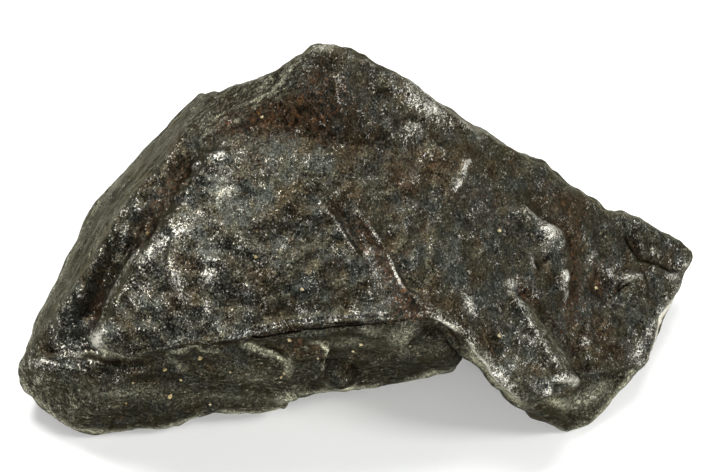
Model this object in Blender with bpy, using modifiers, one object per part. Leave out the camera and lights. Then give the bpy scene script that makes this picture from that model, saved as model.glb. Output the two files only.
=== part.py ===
"""Iron meteorite: one torn fragment of metal, 49 mm long, lying on a small flat spot.

The specimen is one solid. It is built the way it would be carved: overlapping rough lumps are joined,
the joined body is trimmed to the outline that shows from the front, its broken edges are worn round,
and the underside is cut flat where the specimen rests.

Places are in millimetres. A corner that shows from the front, looking down at VIEW_ELEVATION, is given
as it is seen: across to the right, up the picture, and its height above the table. A hidden corner is
given as it lies: right, back and height. The frame has X along the length, Y to the back and Z up,
with its origin under the middle of the body.
"""

import math

import bmesh
import bpy
from mathutils import Vector

MM = 0.001

# The view in which the outline and the visible corners were measured.
VIEW_ELEVATION = math.radians(50.0)
VIEW_DISTANCE = 400.0
TO_VIEWER = Vector((0.0, -math.cos(VIEW_ELEVATION), math.sin(VIEW_ELEVATION)))
PICTURE_UP = Vector((0.0, math.sin(VIEW_ELEVATION), math.cos(VIEW_ELEVATION)))
PICTURE_RIGHT = Vector((1.0, 0.0, 0.0))

# Where the middle of the finished body's box lies on the table. It becomes the origin.
MIDDLE = Vector((0.22, -4.93, 0.0))

# The edges are worn round by smoothing an even skin, then the skin is thinned out.
SKIN_VOXEL = 0.32
WEAR_PASSES = 10
TRIANGLE_SHARE = 0.085

# The table cuts off what hangs below it, which leaves the flat spot that the body rests on.
TABLE_SIDE = 80.0
TABLE_DEPTH = 10.0

IRON_COLOUR = (0.045, 0.040, 0.034, 1.0)
IRON_ROUGHNESS = 0.45
IRON_METALLIC = 0.8


def seen(across, up, height):
    """The point that shows at (across, up) in the picture plane and stands at this height, in mm."""
    eye = TO_VIEWER * VIEW_DISTANCE
    in_picture = PICTURE_RIGHT * across + PICTURE_UP * up
    ray = in_picture - eye
    return eye + ray * ((height - eye.z) / ray.z)


def hidden(right, back, height):
    """A corner on a side that the front view doesn't show, in mm."""
    return Vector((right, back, height))


# The outline of the whole specimen in the picture plane, from its left end along the bottom. It is
# drawn a little large, because wearing the edges takes some of it away.
OUTLINE = [
    (-25.0, -10.1), (-24.6, -11.0), (-23.7, -12.1), (-22.5, -13.2), (-21.0, -14.2), (-19.4, -14.5),
    (-18.1, -14.6), (-16.7, -14.4), (-14.3, -14.3), (-13.3, -14.1), (-11.8, -13.4), (-10.6, -13.1),
    (-7.7, -13.2), (-5.8, -13.0), (-4.3, -12.1), (-2.8, -12.0), (-1.3, -11.8), (-0.1, -11.4),
    (2.7, -11.2), (3.5, -10.9), (6.0, -10.4), (7.4, -9.9), (7.9, -9.4), (8.7, -9.1),
    (9.6, -9.7), (10.0, -10.4), (11.5, -12.1), (12.4, -12.9), (14.2, -13.8), (15.7, -14.6),
    (16.6, -14.4), (17.4, -14.0), (18.1, -13.2), (19.2, -11.8), (20.9, -10.3), (21.8, -9.2),
    (22.3, -7.4), (22.7, -6.0), (23.5, -4.7), (23.9, -3.5), (24.7, -2.3), (25.2, -1.5),
    (25.1, -1.0), (24.5, -0.5), (22.4, 0.5), (20.6, 1.3), (19.6, 1.5), (18.8, 1.5),
    (17.9, 2.6), (16.4, 3.3), (14.1, 5.0), (12.1, 6.2), (10.9, 6.7), (9.7, 7.8),
    (8.2, 8.5), (6.6, 9.4), (5.0, 10.7), (3.1, 11.9), (1.0, 12.9), (-0.4, 13.5),
    (-1.2, 14.2), (-1.9, 14.4), (-2.6, 14.3), (-3.6, 13.4), (-5.3, 12.7), (-6.7, 12.0),
    (-8.4, 11.2), (-10.4, 10.7), (-11.8, 10.3), (-12.6, 9.5), (-14.7, 7.8), (-16.7, 4.9),
    (-18.9, 2.2), (-21.0, -1.4), (-22.7, -5.0), (-23.7, -7.0),
]
OUTLINE_GROWTH = 1.006
OUTLINE_NEAR = 30.0
OUTLINE_FAR = -34.0

# The lumps that make up the body. Each one is the convex hull of its corners. The plate and the
# tongue are the torn ends at the right, and the web fills the hollow that they hide.
LUMPS = {
    "main mass": [
        seen(-19.0, -8.1, 8.8), seen(-17.2, -8.8, 8.9), seen(-14.4, -8.8, 9.2), seen(-9.6, -8.2, 9.8),
        seen(-6.8, -7.3, 10.0), seen(-0.7, -6.3, 10.5), seen(5.8, -6.4, 10.4), seen(-19.4, -7.3, 8.6),
        seen(-18.4, -5.0, 9.5), seen(-15.9, -1.9, 10.6), seen(-13.5, 1.9, 12.0), seen(-11.2, 6.5, 13.2),
        seen(-9.3, -0.3, 12.3), seen(-1.8, 6.4, 13.8), seen(7.1, 6.4, 12.9), seen(8.9, 7.9, 12.0),
        seen(11.4, 5.0, 10.6), seen(13.3, 2.1, 10.0), seen(14.7, 1.0, 9.5), seen(15.7, -0.4, 8.9),
        seen(15.9, -2.7, 8.4), seen(15.9, -4.9, 7.8), seen(11.9, -4.1, 9.0), seen(13.8, -5.3, 8.1),
        hidden(-17.5, -13.0, 4.5), hidden(-11.0, 2.0, 3.0), hidden(8.0, 2.0, 3.0),
        hidden(14.0, -5.0, 3.5), hidden(4.5, -12.0, 4.0), hidden(-9.0, -14.5, 4.0),
    ],
    "apex": [
        seen(-2.4, 14.4, 17.4), seen(-4.1, 13.1, 16.2), seen(-0.3, 13.6, 16.6), seen(3.1, 12.0, 15.2),
        seen(6.2, 10.0, 13.7), seen(8.7, 8.5, 12.4), seen(-6.7, 12.3, 14.7), seen(-8.5, 11.5, 13.7),
        seen(-10.4, 11.0, 12.4), seen(-11.6, 9.6, 12.3), seen(-10.6, 7.0, 12.6), seen(-5.5, 6.6, 13.0),
        seen(-1.0, 6.1, 13.3), seen(3.4, 5.6, 12.8), seen(8.6, 6.0, 11.6), hidden(-9.5, 4.5, 8.0),
        hidden(-3.5, 5.5, 9.5), hidden(5.5, 4.0, 8.0), hidden(0.0, 0.0, 4.0),
    ],
    "flank": [
        seen(-8.0, 10.2, 13.9), seen(-9.8, 9.8, 13.5), seen(-11.7, 9.0, 12.7), seen(-13.3, 6.7, 11.8),
        seen(-15.0, 4.5, 11.2), seen(-16.5, 2.6, 10.5), seen(-17.8, 0.3, 9.6), seen(-19.6, -2.6, 8.2),
        seen(-20.7, -4.1, 7.4), seen(-21.5, -5.5, 6.7), seen(-22.3, -8.4, 5.2), seen(-23.4, -9.3, 4.8),
        seen(-24.6, -9.3, 4.0), seen(-10.3, 7.6, 13.0), seen(-12.5, 4.1, 11.9), seen(-14.4, 1.0, 10.8),
        seen(-15.6, -1.0, 9.9), seen(-17.2, -3.0, 8.8), seen(-18.5, -5.3, 7.6), seen(-19.4, -7.7, 6.2),
        seen(-10.3, 10.9, 10.9), seen(-11.7, 10.6, 9.4), seen(-15.8, 6.4, 7.5), seen(-20.4, 0.3, 5.0),
        seen(-23.0, -5.0, 3.2), seen(-24.5, -8.1, 2.8), seen(-25.2, -10.1, 3.0),
        hidden(-22.0, -12.0, 1.0), hidden(-18.5, -4.0, 1.0), hidden(-12.5, 4.0, 1.0),
        hidden(-8.0, 6.5, 4.0), hidden(-8.0, -6.0, 1.0), hidden(-14.0, -13.0, 2.0),
    ],
    "foot": [
        seen(-25.2, -10.0, 3.2), seen(-24.5, -9.4, 4.2), seen(-23.2, -9.4, 5.0), seen(-21.3, -9.7, 5.4),
        seen(-19.9, -10.2, 5.6), seen(-18.5, -9.8, 6.4), seen(-16.6, -9.3, 7.3), seen(-14.4, -9.3, 7.7),
        seen(-11.7, -8.4, 8.5), seen(-9.5, -8.6, 8.1), seen(-7.5, -8.4, 8.2), seen(-6.2, -8.8, 7.4),
        seen(-5.1, -9.2, 6.6), seen(-2.0, -8.3, 7.9), seen(-2.1, -9.0, 6.5), seen(-2.6, -9.7, 5.3),
        seen(-3.3, -10.4, 4.0), seen(-4.0, -11.1, 2.9), seen(-4.4, -11.7, 1.9), seen(-5.0, -12.5, 0.9),
        seen(-5.9, -13.3, 0.5), seen(-24.8, -11.4, 1.2), seen(-22.7, -13.5, 0.6), seen(-20.7, -14.7, 0.3),
        seen(-18.1, -14.9, 0.2), seen(-14.4, -14.6, 0.3), seen(-11.4, -13.6, 0.4), seen(-22.9, -11.0, 4.0),
        seen(-19.6, -12.5, 3.8), seen(-15.1, -12.1, 4.0), seen(-9.9, -11.4, 3.8),
        hidden(-18.0, -12.0, 0.5), hidden(-7.0, -10.0, 0.6), hidden(-16.0, -7.0, 1.0),
    ],
    "front wall": [
        seen(-6.8, -7.7, 9.1), seen(-0.7, -6.9, 9.4), seen(5.6, -7.0, 9.2), seen(7.5, -8.1, 7.0),
        seen(8.1, -9.3, 3.4), seen(7.6, -10.1, 1.8), seen(6.0, -10.7, 0.9), seen(2.7, -11.4, 0.6),
        seen(-0.7, -11.9, 0.5), seen(-4.3, -12.4, 0.5), hidden(-10.0, 2.0, 1.0), hidden(6.0, 2.0, 1.0),
    ],
    "strip": [
        seen(7.1, 9.1, 13.0), seen(8.9, 8.2, 12.0), seen(13.0, 5.9, 9.9), seen(15.4, 4.4, 8.4),
        seen(18.4, 2.2, 6.7), seen(17.5, -0.3, 7.0), seen(16.4, -2.9, 7.4), seen(16.4, 0.1, 8.0),
        seen(14.1, 2.3, 9.2), seen(10.8, 5.3, 10.8), seen(8.0, 7.0, 12.0), hidden(5.0, -6.0, 2.0),
        hidden(12.5, -7.0, 2.0), hidden(17.0, -1.0, 2.5), hidden(8.0, 4.0, 2.0),
    ],
    "plate": [
        seen(18.8, 1.8, 6.2), seen(20.6, 1.5, 5.5), seen(23.6, 0.2, 4.2), seen(25.3, -1.0, 3.3),
        seen(25.0, -2.4, 2.9), seen(23.7, -4.7, 2.8), seen(22.5, -7.4, 2.6), seen(21.9, -8.6, 2.4),
        seen(21.2, -9.3, 2.6), seen(18.2, -10.2, 3.4), seen(16.7, -10.3, 3.7), seen(15.8, -8.7, 4.9),
        seen(14.7, -7.3, 5.9), seen(13.3, -5.3, 7.0), seen(13.8, -3.3, 7.6), seen(17.1, -2.5, 6.8),
        seen(17.5, -0.3, 6.8), seen(22.1, -9.3, 1.6), seen(18.2, -13.5, 0.4), seen(16.6, -14.7, 0.0),
        seen(15.7, -14.9, -0.2), seen(14.1, -13.9, 1.0), hidden(23.0, -5.0, 0.9),
        hidden(17.0, -2.0, 1.5), hidden(11.0, -6.0, 1.5), hidden(20.5, -12.5, 0.6),
        hidden(13.5, -12.0, 1.2),
    ],
    "tongue": [
        seen(5.8, -6.4, 10.4), seen(8.1, -7.3, 9.0), seen(9.0, -8.5, 7.9), seen(11.0, -10.9, 6.0),
        seen(13.2, -12.4, 4.6), seen(14.6, -12.7, 4.1), seen(16.4, -11.5, 4.5), seen(15.8, -10.7, 5.6),
        seen(14.7, -8.4, 6.9), seen(13.3, -6.6, 7.9), seen(11.9, -4.1, 9.0), seen(9.6, -9.9, 5.4),
        seen(11.5, -12.3, 3.2), seen(13.6, -13.8, 1.4), seen(15.3, -14.6, 0.3), seen(16.8, -11.1, 4.2),
        hidden(11.0, -7.0, 1.5), hidden(15.0, -9.0, 1.5),
    ],
    "back": [
        seen(-9.4, 10.6, 12.0), seen(-3.2, 13.4, 16.0), seen(-0.6, 13.4, 16.2), seen(3.6, 11.2, 14.2),
        seen(9.2, 7.8, 11.4), seen(15.4, 4.2, 8.1), hidden(-13.5, 4.2, 5.0), hidden(-9.0, 7.0, 8.5),
        hidden(-5.5, 9.2, 5.0), hidden(1.5, 9.6, 4.5), hidden(4.0, 7.4, 8.5), hidden(9.0, 6.6, 4.5),
        hidden(16.0, 1.0, 4.0), hidden(-12.0, 2.5, 1.3), hidden(-4.0, 7.0, 1.2), hidden(3.0, 7.2, 1.2),
        hidden(9.0, 3.5, 1.3), hidden(14.0, -1.5, 1.5), hidden(4.0, -6.0, 1.3),
        hidden(-8.0, -6.0, 1.0),
    ],
    "rest": [
        hidden(-7.5, -9.5, -0.5), hidden(-8.0, -5.0, -0.5), hidden(-5.0, -2.0, -0.5),
        hidden(1.0, -2.5, -0.5), hidden(2.5, -6.0, -0.5), hidden(0.0, -9.5, -0.5), hidden(-4.0, -10.5, -0.5),
        hidden(-16.5, -12.0, 1.3), hidden(-14.0, -3.0, 1.3), hidden(-6.5, 5.0, 1.3), hidden(5.0, 4.5, 1.3),
        hidden(10.0, -4.0, 1.4), hidden(4.5, -12.0, 1.2), hidden(-7.0, -14.5, 1.2), hidden(-4.0, -6.0, 6.0),
    ],
    "web": [
        hidden(6.5, -11.5, 1.4), hidden(6.5, -11.5, 6.0), hidden(13.5, -13.5, 1.4), hidden(13.5, -13.5, 4.5),
        hidden(8.0, -3.0, 1.4), hidden(8.0, -3.0, 6.0), hidden(14.5, -4.0, 1.6), hidden(14.5, -4.0, 5.0),
    ],
}


def finish_shape(name, shape, collection):
    """Turns a bmesh in millimetres, measured from the picture's middle, into an object in metres."""
    bmesh.ops.translate(shape, verts=shape.verts, vec=-MIDDLE)
    bmesh.ops.scale(shape, verts=shape.verts, vec=(MM, MM, MM))
    bmesh.ops.recalc_face_normals(shape, faces=shape.faces)
    mesh = bpy.data.meshes.new(name)
    shape.to_mesh(mesh)
    shape.free()
    obj = bpy.data.objects.new(name, mesh)
    collection.objects.link(obj)
    return obj


def lump(name, corners, collection):
    """One lump: the convex hull of its corners."""
    shape = bmesh.new()
    for corner in corners:
        shape.verts.new(corner)
    hull = bmesh.ops.convex_hull(shape, input=shape.verts)
    inside = [item for item in hull["geom_interior"] if isinstance(item, bmesh.types.BMVert)]
    bmesh.ops.delete(shape, geom=inside, context="VERTS")
    return finish_shape(name, shape, collection)


def outline_block(collection):
    """The outline swept along the lines of sight, which spread from the eye, as one closed block."""
    shape = bmesh.new()
    rings = []
    for reach in (OUTLINE_NEAR, OUTLINE_FAR):
        share = 1.0 - reach / VIEW_DISTANCE
        ring = []
        for across, up in OUTLINE:
            in_picture = (PICTURE_RIGHT * across + PICTURE_UP * up) * OUTLINE_GROWTH
            place = in_picture * share + TO_VIEWER * reach
            ring.append(shape.verts.new(place))
        rings.append(ring)
    near_face, far_face = (shape.faces.new(ring) for ring in rings)
    bmesh.ops.bridge_loops(shape, edges=list(near_face.edges) + list(far_face.edges))
    bmesh.ops.triangulate(shape, faces=[near_face, far_face])
    return finish_shape("outline", shape, collection)


def table_block(collection):
    """The table under the body, with its top at height zero."""
    shape = bmesh.new()
    bmesh.ops.create_cube(shape, size=1.0)
    bmesh.ops.scale(shape, verts=shape.verts, vec=(TABLE_SIDE, TABLE_SIDE, TABLE_DEPTH))
    bmesh.ops.translate(shape, verts=shape.verts, vec=(0.0, 0.0, -TABLE_DEPTH / 2))
    return finish_shape("table", shape, collection)


def add_boolean(obj, operation, helper):
    """Joins a lump to the body, or cuts the body with a block, and hides that helper from renders."""
    boolean = obj.modifiers.new(f"{operation.lower()} {helper.name}", "BOOLEAN")
    boolean.operation = operation
    boolean.object = helper
    boolean.solver = "EXACT"
    helper.hide_render = True
    helper.display_type = "WIRE"


def wear_edges(obj):
    """Turns broken edges into worn ones, and thins the skin out to an even net of larger facets."""
    skin = obj.modifiers.new("even skin", "REMESH")
    skin.mode = "VOXEL"
    skin.voxel_size = SKIN_VOXEL * MM
    skin.use_smooth_shade = True
    wear = obj.modifiers.new("worn edges", "SMOOTH")
    wear.iterations = WEAR_PASSES
    facets = obj.modifiers.new("larger facets", "DECIMATE")
    facets.ratio = TRIANGLE_SHARE


def iron_material():
    material = bpy.data.materials.new("weathered iron")
    material.use_nodes = True
    surface = material.node_tree.nodes["Principled BSDF"]
    surface.inputs["Base Color"].default_value = IRON_COLOUR
    surface.inputs["Roughness"].default_value = IRON_ROUGHNESS
    surface.inputs["Metallic"].default_value = IRON_METALLIC
    return material


def main():
    for old in list(bpy.data.objects):
        bpy.data.objects.remove(old)
    parts = bpy.data.collections.new("iron_meteorite")
    helpers = bpy.data.collections.new("helpers")
    for collection in (parts, helpers):
        bpy.context.scene.collection.children.link(collection)

    body = lump("meteorite", LUMPS["main mass"], parts)
    for name, corners in LUMPS.items():
        if name != "main mass":
            add_boolean(body, "UNION", lump(name, corners, helpers))
    add_boolean(body, "INTERSECT", outline_block(helpers))
    wear_edges(body)
    add_boolean(body, "DIFFERENCE", table_block(helpers))
    body.data.materials.append(iron_material())


main()
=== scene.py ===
import math

import bmesh
import bpy
import numpy as np
from mathutils import Matrix, Vector, noise


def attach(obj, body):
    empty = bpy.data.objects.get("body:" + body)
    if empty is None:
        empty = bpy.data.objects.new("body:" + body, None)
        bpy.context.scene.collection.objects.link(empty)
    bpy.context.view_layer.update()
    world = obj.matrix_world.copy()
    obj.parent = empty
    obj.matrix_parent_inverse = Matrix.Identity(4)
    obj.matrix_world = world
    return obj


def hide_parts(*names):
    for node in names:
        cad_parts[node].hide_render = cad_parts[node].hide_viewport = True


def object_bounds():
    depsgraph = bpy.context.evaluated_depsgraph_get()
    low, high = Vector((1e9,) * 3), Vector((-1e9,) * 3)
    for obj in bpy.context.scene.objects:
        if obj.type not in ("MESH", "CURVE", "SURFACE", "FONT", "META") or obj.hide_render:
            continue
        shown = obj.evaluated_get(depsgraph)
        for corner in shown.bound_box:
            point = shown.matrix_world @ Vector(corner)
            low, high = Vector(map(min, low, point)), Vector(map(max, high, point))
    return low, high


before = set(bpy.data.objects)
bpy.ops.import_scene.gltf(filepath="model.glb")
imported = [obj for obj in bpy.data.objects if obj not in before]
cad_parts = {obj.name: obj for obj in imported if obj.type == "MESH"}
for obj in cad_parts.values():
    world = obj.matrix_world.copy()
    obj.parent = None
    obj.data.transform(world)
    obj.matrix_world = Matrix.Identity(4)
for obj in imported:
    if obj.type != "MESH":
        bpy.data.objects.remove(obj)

cad_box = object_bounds()

# The view of the photograph. It is not part of the object. A close-up camera looks down at the
# fragment, whose outline is 675 pixels wide in the picture and 50 mm wide in the hand.
MM = 0.001
PHOTO_WIDTH = 708
PHOTO_HEIGHT = 472
OUTLINE_PIXELS = 675.0
OUTLINE_WIDTH = 50.0
PIXEL = OUTLINE_WIDTH / OUTLINE_PIXELS
LOOKING_DOWN = math.radians(50.0)
VIEW_DISTANCE = 400.0
AIM = Vector((-0.22, 4.93, 0.0))
TO_VIEWER = Vector((0.0, -math.cos(LOOKING_DOWN), math.sin(LOOKING_DOWN)))
PICTURE_UP = Vector((0.0, math.sin(LOOKING_DOWN), math.cos(LOOKING_DOWN)))
PICTURE_RIGHT = Vector((1.0, 0.0, 0.0))
EYE = AIM + TO_VIEWER * VIEW_DISTANCE
SENSOR_WIDTH = 36.0
NEAREST_SEEN = 10.0

camera_data = bpy.data.cameras.new("photo_view")
camera_data.sensor_width = SENSOR_WIDTH
camera_data.lens = SENSOR_WIDTH * VIEW_DISTANCE / (PHOTO_WIDTH * PIXEL)
camera_data.clip_start = NEAREST_SEEN * MM
camera = bpy.data.objects.new("photo_view", camera_data)
camera.matrix_world = Matrix.Translation(EYE * MM) @ Matrix(
    (PICTURE_RIGHT, PICTURE_UP, TO_VIEWER)
).transposed().to_4x4()
bpy.context.scene.collection.objects.link(camera)
bpy.context.scene.camera = camera

# The floor and the studio light. They are not part of the object. The floor is a plain white sweep,
# and white softboxes stand round it under a dim ceiling, so that the metal mirrors bright windows.
FLOOR_SIDE = 6000.0
FLOOR_WHITE = "#f7f7f5"
FLOOR_ROUGHNESS = 0.9
WALL_WHITE = "#f4f6f8"
WALL_TOP = 0.28
CEILING_START = 0.55
WALL_STRENGTH = 1.5
CEILING_STRENGTH = 0.10


def colour(hex_code):
    """An sRGB hex colour as the linear colour that shaders and lights take."""
    shares = [int(hex_code[i : i + 2], 16) / 255 for i in (1, 3, 5)]
    linear = [s / 12.92 if s <= 0.04045 else ((s + 0.055) / 1.055) ** 2.4 for s in shares]
    return (*linear, 1.0)


def add_node(tree, kind, inputs=None, **settings):
    """Adds a node, sets its settings, gives each named or numbered input a value or a link, and
    returns its outputs."""
    node = tree.nodes.new(kind)
    for name, value in settings.items():
        setattr(node, name, value)
    for name, value in (inputs or {}).items():
        if isinstance(value, bpy.types.NodeSocket):
            tree.links.new(value, node.inputs[name])
        else:
            node.inputs[name].default_value = value
    return node.outputs


floor_shape = bmesh.new()
bmesh.ops.create_grid(floor_shape, x_segments=1, y_segments=1, size=FLOOR_SIDE / 2 * MM)
floor_mesh = bpy.data.meshes.new("floor")
floor_shape.to_mesh(floor_mesh)
floor_shape.free()
floor = bpy.data.objects.new("floor", floor_mesh)
bpy.context.scene.collection.objects.link(floor)

# White painted board: matt, with no gloss of its own.
board = bpy.data.materials.new("matt_white_board")
board.use_nodes = True
board_shader = board.node_tree.nodes["Principled BSDF"]
board_shader.inputs["Base Color"].default_value = colour(FLOOR_WHITE)
board_shader.inputs["Roughness"].default_value = FLOOR_ROUGHNESS
board_shader.inputs["Specular IOR Level"].default_value = 0.0
floor_mesh.materials.append(board)

# The studio walls are bright up to WALL_TOP, and the dim ceiling begins at CEILING_START. Both are
# heights on a sphere of radius 1 round the fragment.
studio = bpy.data.worlds.new("studio")
studio.use_nodes = True
sky = studio.node_tree
looking = add_node(sky, "ShaderNodeTexCoord")["Generated"]
heights = add_node(sky, "ShaderNodeSeparateXYZ", {0: looking})["Z"]
walls = add_node(
    sky,
    "ShaderNodeMapRange",
    {0: heights, 1: WALL_TOP, 2: CEILING_START, 3: WALL_STRENGTH, 4: CEILING_STRENGTH},
    interpolation_type="SMOOTHSTEP",
)
background = sky.nodes["Background"]
background.inputs["Color"].default_value = colour(WALL_WHITE)
sky.links.new(walls[0], background.inputs["Strength"])
bpy.context.scene.world = studio
bpy.context.scene.view_settings.view_transform = "Standard"
bpy.context.scene.view_settings.look = "None"

# Each softbox: the side it stands on as a compass angle from the front towards the right, its height
# angle, its distance, its two sides and its power in watts.
SOFTBOXES = {
    "left_window": (-150.0, 54.0, 420.0, 160.0, 150.0, 1.8),
    "right_window": (80.0, 38.0, 420.0, 110.0, 150.0, 0.9),
    "back_window": (160.0, 48.0, 450.0, 150.0, 110.0, 0.9),
    "front_window": (12.0, 20.0, 420.0, 320.0, 100.0, 1.8),
}
for name, (side, height, distance, wide, tall, power) in SOFTBOXES.items():
    light = bpy.data.lights.new(name, "AREA")
    light.shape = "RECTANGLE"
    light.size = wide * MM
    light.size_y = tall * MM
    light.energy = power
    lamp = bpy.data.objects.new(name, light)
    away = Vector((
        math.sin(math.radians(side)) * math.cos(math.radians(height)),
        -math.cos(math.radians(side)) * math.cos(math.radians(height)),
        math.sin(math.radians(height)),
    ))
    turn = away.to_track_quat("Z", "Y").to_matrix().to_4x4()
    lamp.matrix_world = Matrix.Translation(away * distance * MM) @ turn
    bpy.context.scene.collection.objects.link(lamp)

# The meteorite. One natural lump of nickel iron, torn and then worn: its hide is dark oxide, bright
# metal shows on every proud grain and edge, and rust sits in the hollows. It lies loose on the floor.
SAME_PLACE = 0.0005
SKIN_VOXEL = 0.155

rock = bpy.data.objects.new("iron_meteorite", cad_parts["meteorite"].data.copy())
bpy.context.scene.collection.objects.link(rock)
rock.data.materials.clear()
joined = bmesh.new()
joined.from_mesh(rock.data)
bmesh.ops.remove_doubles(joined, verts=joined.verts, dist=SAME_PLACE * MM)
joined.to_mesh(rock.data)
joined.free()

skin = rock.modifiers.new("even_skin", "REMESH")
skin.mode = "VOXEL"
skin.voxel_size = SKIN_VOXEL * MM
graph = bpy.context.evaluated_depsgraph_get()
even_mesh = bpy.data.meshes.new_from_object(rock.evaluated_get(graph))
rock.modifiers.clear()
rock.data = even_mesh
even_mesh.name = "iron_meteorite"


def numbers(mesh_items, field, width, kind=np.float64):
    """One field of a mesh's vertices or edges as an array."""
    values = np.empty(len(mesh_items) * width, kind)
    mesh_items.foreach_get(field, values)
    return values.reshape(-1, width)


points = numbers(even_mesh.vertices, "co", 3) / MM
edges = numbers(even_mesh.edges, "vertices", 2, np.int64)
neighbours = np.bincount(edges.ravel(), minlength=len(points))


def smoothed(values, passes, share=1.0):
    """Values on the vertices, drawn towards the mean of their neighbours, this many times."""
    values = np.array(values, float)
    columns = values.reshape(len(points), -1)
    for _ in range(passes):
        for column in columns.T:
            total = np.bincount(edges[:, 0], column[edges[:, 1]], len(points))
            total += np.bincount(edges[:, 1], column[edges[:, 0]], len(points))
            column += (total / neighbours - column) * share
    return values


def normals_of(places):
    """The outward directions at the vertices once they stand in these places."""
    even_mesh.vertices.foreach_set("co", (places * MM).astype(np.float32).ravel())
    even_mesh.update()
    return np.array([n.vector for n in even_mesh.vertex_normals])


def between(low, high, values):
    """Rises smoothly from 0 at low to 1 at high."""
    share = np.clip((np.asarray(values, float) - low) / (high - low), 0.0, 1.0)
    return share * share * (3 - 2 * share)


def in_photo(places):
    """Where each place shows in the photograph, in its pixels from the top left corner."""
    offsets = places - np.array(EYE)
    depths = -(offsets @ np.array(TO_VIEWER))
    across = offsets @ np.array(PICTURE_RIGHT) / depths * VIEW_DISTANCE
    up = offsets @ np.array(PICTURE_UP) / depths * VIEW_DISTANCE
    return np.stack([PHOTO_WIDTH / 2 + across / PIXEL, PHOTO_HEIGHT / 2 - up / PIXEL], axis=1)


# The CAD skin has flat facets and sharp seams. Wear softens them all, and the foot stays flat on the
# floor. A few places are worn down much further: each is a place on the photograph, how far it
# reaches in pixels, and how much of the wear it takes.
SOFTENING_PASSES = 7
SOFTENING = 0.5
FOOT_RISE = (0.25, 0.05)
EASED = (
    ((554, 311), 24, 0.9), ((573, 387), 15, 0.7), ((190, 172), 12, 0.5), ((172, 200), 12, 0.5),
    ((217, 147), 15, 0.9), ((240, 140), 20, 0.9), ((272, 140), 24, 0.9), ((308, 143), 24, 0.9),
)
EASING_PASSES = 160
EASED_CORE = 0.5
EASED_ABOVE = (3.0, 5.0)
GRAZING = (0.02, 0.16)

resting = between(*FOOT_RISE, points[:, 2])
points = smoothed(points, SOFTENING_PASSES, SOFTENING)
high_enough = between(*EASED_ABOVE, points[:, 2])
eased = np.zeros(len(points))
for middle, reach, share in EASED:
    offset = np.linalg.norm(in_photo(points) - np.array(middle), axis=1)
    eased = np.maximum(eased, share * between(reach, EASED_CORE * reach, offset) * high_enough)
points = smoothed(points, EASING_PASSES, eased)
outward = normals_of(points)
facing = between(*GRAZING, outward @ np.array(TO_VIEWER))
seen_at = in_photo(points)
relief = np.zeros(len(points))


def beside(line, reach):
    """The vertices near a line drawn on the photograph: which they are, how far each lies to the
    right of the line as one walks along it, how far along it is, and how long the line is, in pixels."""
    line = np.array(line, float)
    low = line.min(axis=0) - reach
    high = line.max(axis=0) + reach
    near = np.nonzero(((seen_at > low) & (seen_at < high)).all(axis=1) & (facing > 0))[0]
    places = seen_at[near]
    best = np.full(len(near), np.inf)
    aside = np.zeros(len(near))
    along = np.zeros(len(near))
    walked = 0.0
    for start, end in zip(line[:-1], line[1:]):
        step = end - start
        length = np.linalg.norm(step)
        share = np.clip((places - start) @ step / length**2, 0.0, 1.0)
        distance = np.linalg.norm(places - start - share[:, None] * step, axis=1)
        closer = distance < best
        right_hand = np.sign((places - start) @ np.array([-step[1], step[0]]))
        best[closer] = distance[closer]
        aside[closer] = (distance * right_hand)[closer]
        along[closer] = (walked + share * length)[closer]
        walked += length
    return near, aside, along, walked


# A stroke has faded to nothing at three times its width from its line.
FADED_OUT = 3


def taper(along, length, fade):
    """1 over the middle of a line, falling to 0 over its last few pixels at both ends."""
    return between(0, fade, along) * between(0, fade, length - along)


def ridge(line, width, height, fade=10.0):
    """Raises a rounded crest along a line, or with a negative height sinks a groove."""
    near, aside, along, length = beside(line, width * FADED_OUT)
    profile = np.exp(-((aside / width) ** 2))
    relief[near] += height * profile * taper(along, length, fade) * facing[near]


def lip(line, rise, drop, soft=2.0, rise_reach=14.0, drop_reach=8.0, fade=10.0):
    """A broken step: the surface stands up by rise on the line's right and sinks by drop on its left."""
    near, aside, along, length = beside(line, max(rise_reach, drop_reach) * FADED_OUT)
    right_share = 0.5 + 0.5 * np.tanh(aside / soft)
    raised = rise * right_share * np.exp(-np.maximum(aside, 0) / rise_reach)
    sunk = drop * (1 - right_share) * np.exp(-np.maximum(-aside, 0) / drop_reach)
    relief[near] += (raised - sunk) * taper(along, length, fade) * facing[near]


def patch(middle, across, down, turn):
    """A soft round or long patch on the photograph: 1 at its middle, fading over its half widths."""
    offset = seen_at - np.array(middle)
    turn = math.radians(turn)
    one = (offset[:, 0] * math.cos(turn) + offset[:, 1] * math.sin(turn)) / across
    two = (-offset[:, 0] * math.sin(turn) + offset[:, 1] * math.cos(turn)) / down
    return np.exp(-(one**2 + two**2))


def dome(middle, across, down, height, turn=0.0):
    """A rounded bump, or with a negative height a pit. Its two half widths are in pixels."""
    relief[:] += height * patch(middle, across, down, turn) * facing


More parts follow.
